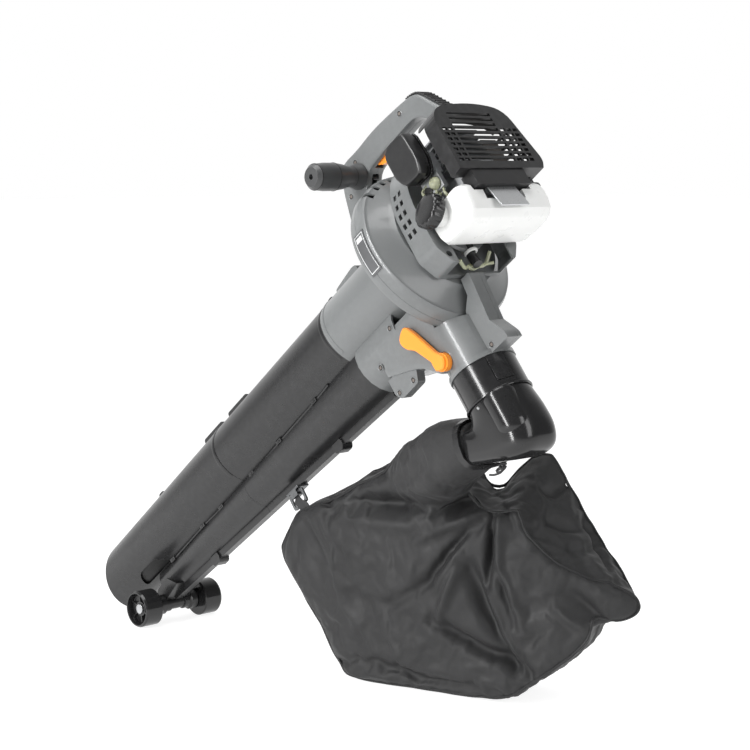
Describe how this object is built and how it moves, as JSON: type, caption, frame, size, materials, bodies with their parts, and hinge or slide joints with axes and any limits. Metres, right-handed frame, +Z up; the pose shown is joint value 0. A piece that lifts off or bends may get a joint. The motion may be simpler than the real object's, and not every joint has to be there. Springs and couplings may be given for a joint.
{
  "type": "leaf blower",
  "caption": "Petrol leaf blower and vacuum: inlet tube with blower duct under it, scroll fan housing, engine, top handle, side grip, elbow and fabric bag, parked on its wheels and bag.",
  "frame": {"origin": "centre of the bounding box, on the floor that the wheels and the bag stand on", "axes": "+X the way the inlet tube points, +Y the left of the operator, +Z up"},
  "size_m": [0.9906, 0.3324, 0.86],
  "materials": {
    "gray_plastic": "satin",
    "black_plastic": "satin",
    "dark_plastic": "satin",
    "rubber": "matte",
    "orange_plastic": "satin",
    "white_tank": "translucent satin",
    "clear_plastic": "clear",
    "steel": "satin",
    "cast_aluminium": "cast",
    "exhaust_steel": "heat-stained",
    "foam": "open foam",
    "fabric": "woven, matte",
    "plate": "printed foil"
  },
  "bodies": {
    "machine": {"vac_tube_upper_left": "black_plastic", "vac_tube_upper_right": "black_plastic", "vac_tube_lower_left": "black_plastic", "vac_tube_lower_right": "black_plastic", "blow_duct_upper": "black_plastic", "blow_duct_lower": "black_plastic", "axle": "steel", "axle_bracket": "black_plastic", "fan_housing_front": "gray_plastic", "fan_housing_rear": "gray_plastic", "rating_plate": "plate", "junction_left": "gray_plastic", "junction_right": "gray_plastic", "elbow_collar": "black_plastic", "elbow": "black_plastic", "engine_mount": "gray_plastic", "handle_left": "gray_plastic", "handle_right": "gray_plastic", "handle_pad": "rubber", "side_grip": "dark_plastic", "side_grip_bolt": "steel", "crankcase": "cast_aluminium", "cylinder": "cast_aluminium", "spark_plug": "steel", "muffler": "exhaust_steel", "engine_shroud": "dark_plastic", "starter_guard": "dark_plastic", "heat_shield": "steel", "carburettor": "cast_aluminium", "filter_base": "black_plastic", "air_filter_cover": "dark_plastic", "filter_element": "foam", "fuel_tank": "white_tank", "fuel_line_feed": "clear_plastic", "fuel_line_return": "clear_plastic", "bag": "fabric", "bag_band": "black_plastic", "bag_hook": "black_plastic"},
    "wheel_left": {"wheel_left": "black_plastic", "wheel_cap_left": "steel"},
    "wheel_right": {"wheel_right": "black_plastic", "wheel_cap_right": "steel"},
    "rotor": {"crankshaft": "steel", "impeller": "black_plastic", "impeller_nut": "steel", "flywheel": "cast_aluminium"},
    "piston": {"piston": "cast_aluminium"},
    "mode_selector": {"mode_lever": "orange_plastic", "diverter_flap": "dark_plastic"},
    "throttle_trigger": {"throttle_trigger": "orange_plastic"},
    "cruise_lever": {"cruise_lever": "black_plastic"},
    "stop_switch": {"stop_switch": "black_plastic"},
    "fuel_cap": {"fuel_cap": "black_plastic"},
    "primer_bulb": {"primer_bulb": "clear_plastic"},
    "choke_lever": {"choke_lever": "black_plastic"},
    "starter_handle": {"starter_handle": "black_plastic"},
    "elbow_latch": {"elbow_latch": "black_plastic"},
    "bag_ring": {"bag_ring": "steel"}
  },
  "joints": [
    {"name": "wheel_left_spin", "type": "hinge", "parent": "machine", "child": "wheel_left", "pos_m": [0.35497, 0.10115, 0.03], "axis": [0, 1, 0], "continuous": true},
    {"name": "wheel_right_spin", "type": "hinge", "parent": "machine", "child": "wheel_right", "pos_m": [0.35497, -0.01685, 0.03], "axis": [0, 1, 0], "continuous": true},
    {"name": "rotor_spin", "type": "hinge", "parent": "machine", "child": "rotor", "pos_m": [-0.25916, 0.04215, 0.64386], "axis": [0.7811, 0, -0.6244], "continuous": true},
    {"name": "piston_stroke", "type": "slide", "parent": "machine", "child": "piston", "axis": [0.6244, 0, 0.7811], "range_m": [-0.028, 0]},
    {"name": "mode_lever_turn", "type": "hinge", "parent": "machine", "child": "mode_selector", "pos_m": [-0.33079, 0.09215, 0.495], "axis": [0, 1, 0], "range_deg": [0, 50]},
    {"name": "throttle_squeeze", "type": "hinge", "parent": "machine", "child": "throttle_trigger", "pos_m": [-0.14738, 0.04215, 0.77087], "axis": [0, 1, 0], "range_deg": [0, 12], "stiffness_Nm_per_rad": 0.2},
    {"name": "cruise_lever_turn", "type": "hinge", "parent": "machine", "child": "cruise_lever", "pos_m": [-0.12879, 0.04215, 0.75089], "axis": [0, 1, 0], "range_deg": [0, 12]},
    {"name": "stop_switch_slide", "type": "slide", "parent": "machine", "child": "stop_switch", "axis": [0.7811, 0, -0.6244], "range_m": [-0.004, 0.004]},
    {"name": "fuel_cap_turn", "type": "hinge", "parent": "machine", "child": "fuel_cap", "pos_m": [-0.34445, 0.11215, 0.69412], "axis": [0.244, 0.9205, 0.3052], "range_deg": [0, 90]},
    {"name": "primer_press", "type": "slide", "parent": "machine", "child": "primer_bulb", "axis": [0, -1, 0], "range_m": [0, 0.003], "stiffness_N_per_m": 300},
    {"name": "choke_turn", "type": "hinge", "parent": "machine", "child": "choke_lever", "pos_m": [-0.31307, 0.10215, 0.72537], "axis": [0, 1, 0], "range_deg": [-40, 0]},
    {"name": "starter_pull", "type": "slide", "parent": "machine", "child": "starter_handle", "axis": [0, -1, 0], "range_m": [0, 0.5], "stiffness_N_per_m": 4},
    {"name": "latch_press", "type": "slide", "parent": "machine", "child": "elbow_latch", "axis": [0.7242, -0.3746, -0.579], "range_m": [0, 0.002], "stiffness_N_per_m": 800},
    {"name": "bag_ring_swing", "type": "hinge", "parent": "machine", "child": "bag_ring", "pos_m": [0.02615, 0.05215, 0.26087], "axis": [0.7811, 0, -0.6244], "range_deg": [-20, 20]}
  ]
}
